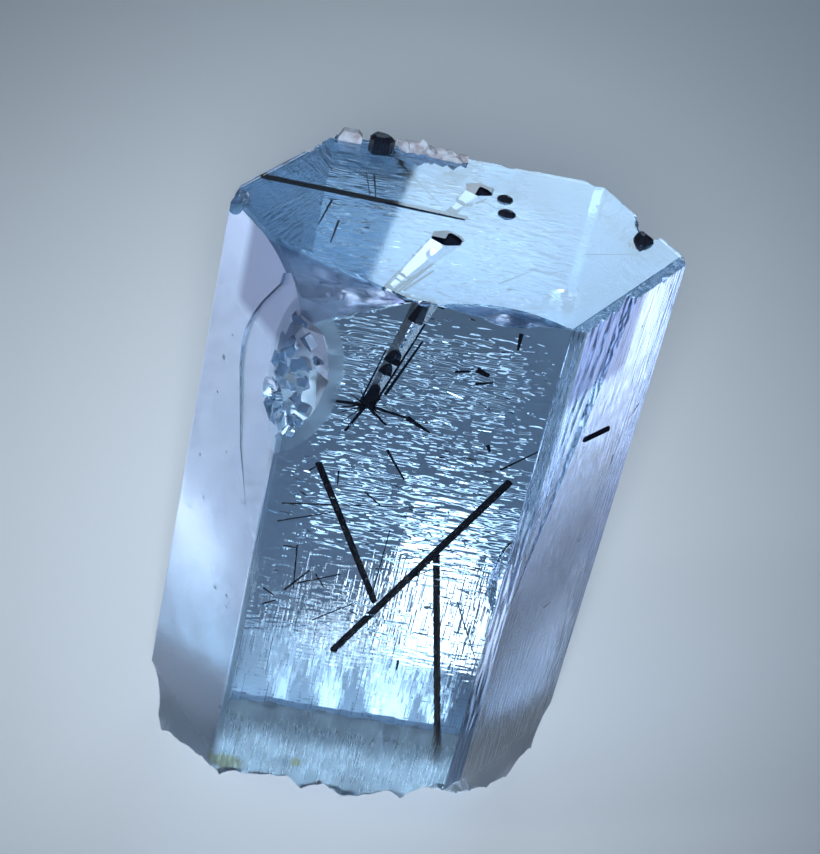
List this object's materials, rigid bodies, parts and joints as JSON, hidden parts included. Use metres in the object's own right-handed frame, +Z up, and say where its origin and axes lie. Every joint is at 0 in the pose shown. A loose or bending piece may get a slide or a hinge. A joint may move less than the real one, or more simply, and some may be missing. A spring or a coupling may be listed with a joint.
{
  "type": "aquamarine crystal",
  "caption": "Stubby six-sided aquamarine prism with a flat termination, clear pale blue, pierced by black schorl needles, standing on its broken base.",
  "frame": {"origin": "middle of the box's base, on the flat part of the broken base that the crystal stands on", "axes": "+Z up along the crystal's c-axis, -Y out of its clear front face, +X to the right as seen from the front"},
  "size_m": [0.026, 0.0184, 0.0382],
  "materials": {
    "aquamarine": "clear pale blue beryl, glossy termination, satin and striated prism faces, index about 1.58",
    "schorl": "black tourmaline, glassy with fine lengthwise striations",
    "albite": "white to faintly pink feldspar, pearly on its cleavage faces"
  },
  "bodies": {
    "root": {"crystal_front": "aquamarine", "crystal_back": "aquamarine", "schorl_needle_diagonal": "schorl", "schorl_needle_upright": "schorl", "schorl_needle_oblique": "schorl", "schorl_needle_top": "schorl", "schorl_needle_side": "schorl", "schorl_rod_with_spray": "schorl", "schorl_rod_short": "schorl", "schorl_back_crystal": "schorl", "schorl_right_crystal": "schorl", "schorl_grain_back": "schorl", "schorl_grain_front": "schorl", "albite_plate": "albite", "albite_grains": "albite"}
  },
  "joints": []
}
